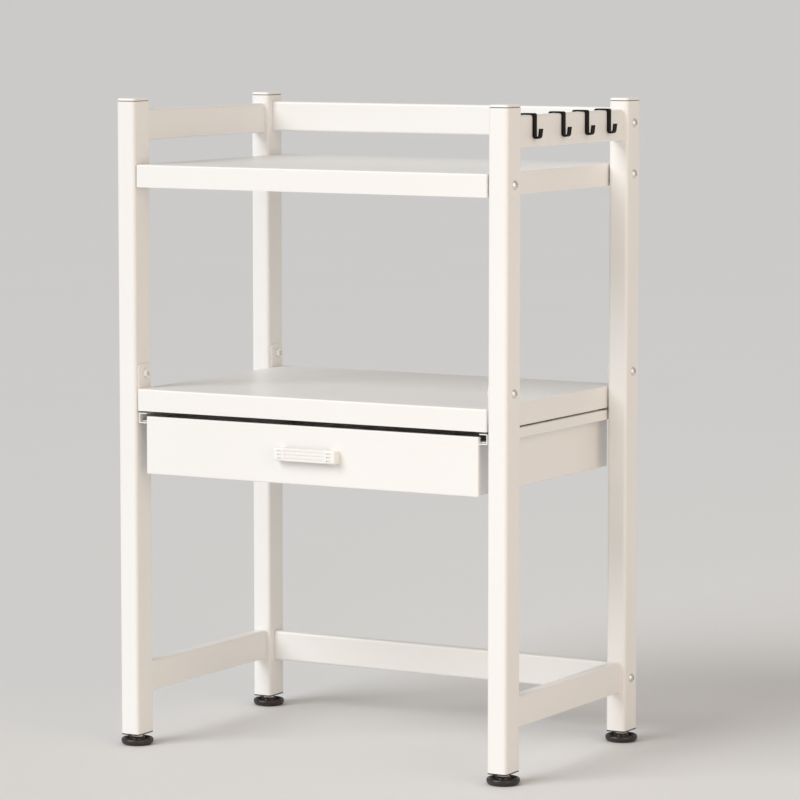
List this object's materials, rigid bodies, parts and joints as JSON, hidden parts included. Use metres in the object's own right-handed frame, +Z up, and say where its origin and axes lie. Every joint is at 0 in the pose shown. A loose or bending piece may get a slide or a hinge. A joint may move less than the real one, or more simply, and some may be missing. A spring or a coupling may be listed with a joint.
{
  "type": "microwave stand",
  "caption": "Free-standing white steel kitchen rack with open shelves, a pull-out drawer under the middle one, levelling feet and small strap hooks on a side rail.",
  "frame": {"origin": "on the floor, midway between the four legs", "axes": "+Z up, +X to the user's right, the drawer opens towards -Y"},
  "size_m": [0.554, 0.361, 0.8],
  "materials": {
    "white_powder_coat": "satin",
    "white_plastic": "satin",
    "black_plastic": "matte",
    "zinc_steel": "satin",
    "black_painted_steel": "satin"
  },
  "bodies": {
    "frame": {"bottom_side_rail_left": "white_powder_coat", "bottom_side_rail_right": "white_powder_coat", "drawer_runner_left": "white_powder_coat", "drawer_runner_right": "white_powder_coat", "frame_screws": "zinc_steel", "leg_cap_front_left": "white_plastic", "leg_cap_front_right": "white_plastic", "leg_cap_rear_left": "white_plastic", "leg_cap_rear_right": "white_plastic", "leg_front_left": "white_powder_coat", "leg_front_right": "white_powder_coat", "leg_plug_front_left": "black_plastic", "leg_plug_front_right": "black_plastic", "leg_plug_rear_left": "black_plastic", "leg_plug_rear_right": "black_plastic", "leg_rear_left": "white_powder_coat", "leg_rear_right": "white_powder_coat", "middle_shelf": "white_powder_coat", "middle_shelf_lugs": "white_powder_coat", "middle_shelf_nuts": "white_powder_coat", "middle_shelf_stiffener_front": "white_powder_coat", "middle_shelf_stiffener_rear": "white_powder_coat", "rear_bottom_rail": "white_powder_coat", "rear_rail_inserts": "zinc_steel", "rear_top_rail": "white_powder_coat", "runner_rivets": "zinc_steel", "runner_spacers": "zinc_steel", "top_shelf": "white_powder_coat", "top_shelf_rivet_nuts": "zinc_steel", "top_shelf_stiffener_front": "white_powder_coat", "top_shelf_stiffener_rear": "white_powder_coat", "top_side_rail_left": "white_powder_coat", "top_side_rail_right": "white_powder_coat"},
    "drawer": {"drawer_tray": "white_powder_coat", "drawer_inner_front": "white_powder_coat", "drawer_back": "white_powder_coat", "drawer_front": "white_powder_coat", "drawer_handle": "white_plastic", "handle_screws": "zinc_steel"},
    "foot_front_left": {"foot_pad_front_left": "black_plastic", "foot_stud_front_left": "zinc_steel"},
    "foot_front_right": {"foot_pad_front_right": "black_plastic", "foot_stud_front_right": "zinc_steel"},
    "foot_rear_left": {"foot_pad_rear_left": "black_plastic", "foot_stud_rear_left": "zinc_steel"},
    "foot_rear_right": {"foot_pad_rear_right": "black_plastic", "foot_stud_rear_right": "zinc_steel"},
    "hook_1": {"hook_1": "black_painted_steel"},
    "hook_2": {"hook_2": "black_painted_steel"},
    "hook_3": {"hook_3": "black_painted_steel"},
    "hook_4": {"hook_4": "black_painted_steel"}
  },
  "joints": [
    {"name": "drawer_slide", "type": "slide", "parent": "frame", "child": "drawer", "axis": [0, -1, 0], "range_m": [0, 0.24]},
    {"name": "foot_height_front_left", "type": "slide", "parent": "frame", "child": "foot_front_left", "axis": [0, 0, 1], "range_m": [-0.012, 0.001]},
    {"name": "foot_height_front_right", "type": "slide", "parent": "frame", "child": "foot_front_right", "axis": [0, 0, 1], "range_m": [-0.012, 0.001]},
    {"name": "foot_height_rear_left", "type": "slide", "parent": "frame", "child": "foot_rear_left", "axis": [0, 0, 1], "range_m": [-0.012, 0.001]},
    {"name": "foot_height_rear_right", "type": "slide", "parent": "frame", "child": "foot_rear_right", "axis": [0, 0, 1], "range_m": [-0.012, 0.001]},
    {"name": "hook_1_slide", "type": "slide", "parent": "frame", "child": "hook_1", "axis": [0, 1, 0], "range_m": [-0.025, 0.025]},
    {"name": "hook_2_slide", "type": "slide", "parent": "frame", "child": "hook_2", "axis": [0, 1, 0], "range_m": [-0.025, 0.025]},
    {"name": "hook_3_slide", "type": "slide", "parent": "frame", "child": "hook_3", "axis": [0, 1, 0], "range_m": [-0.025, 0.025]},
    {"name": "hook_4_slide", "type": "slide", "parent": "frame", "child": "hook_4", "axis": [0, 1, 0], "range_m": [-0.025, 0.025]}
  ]
}
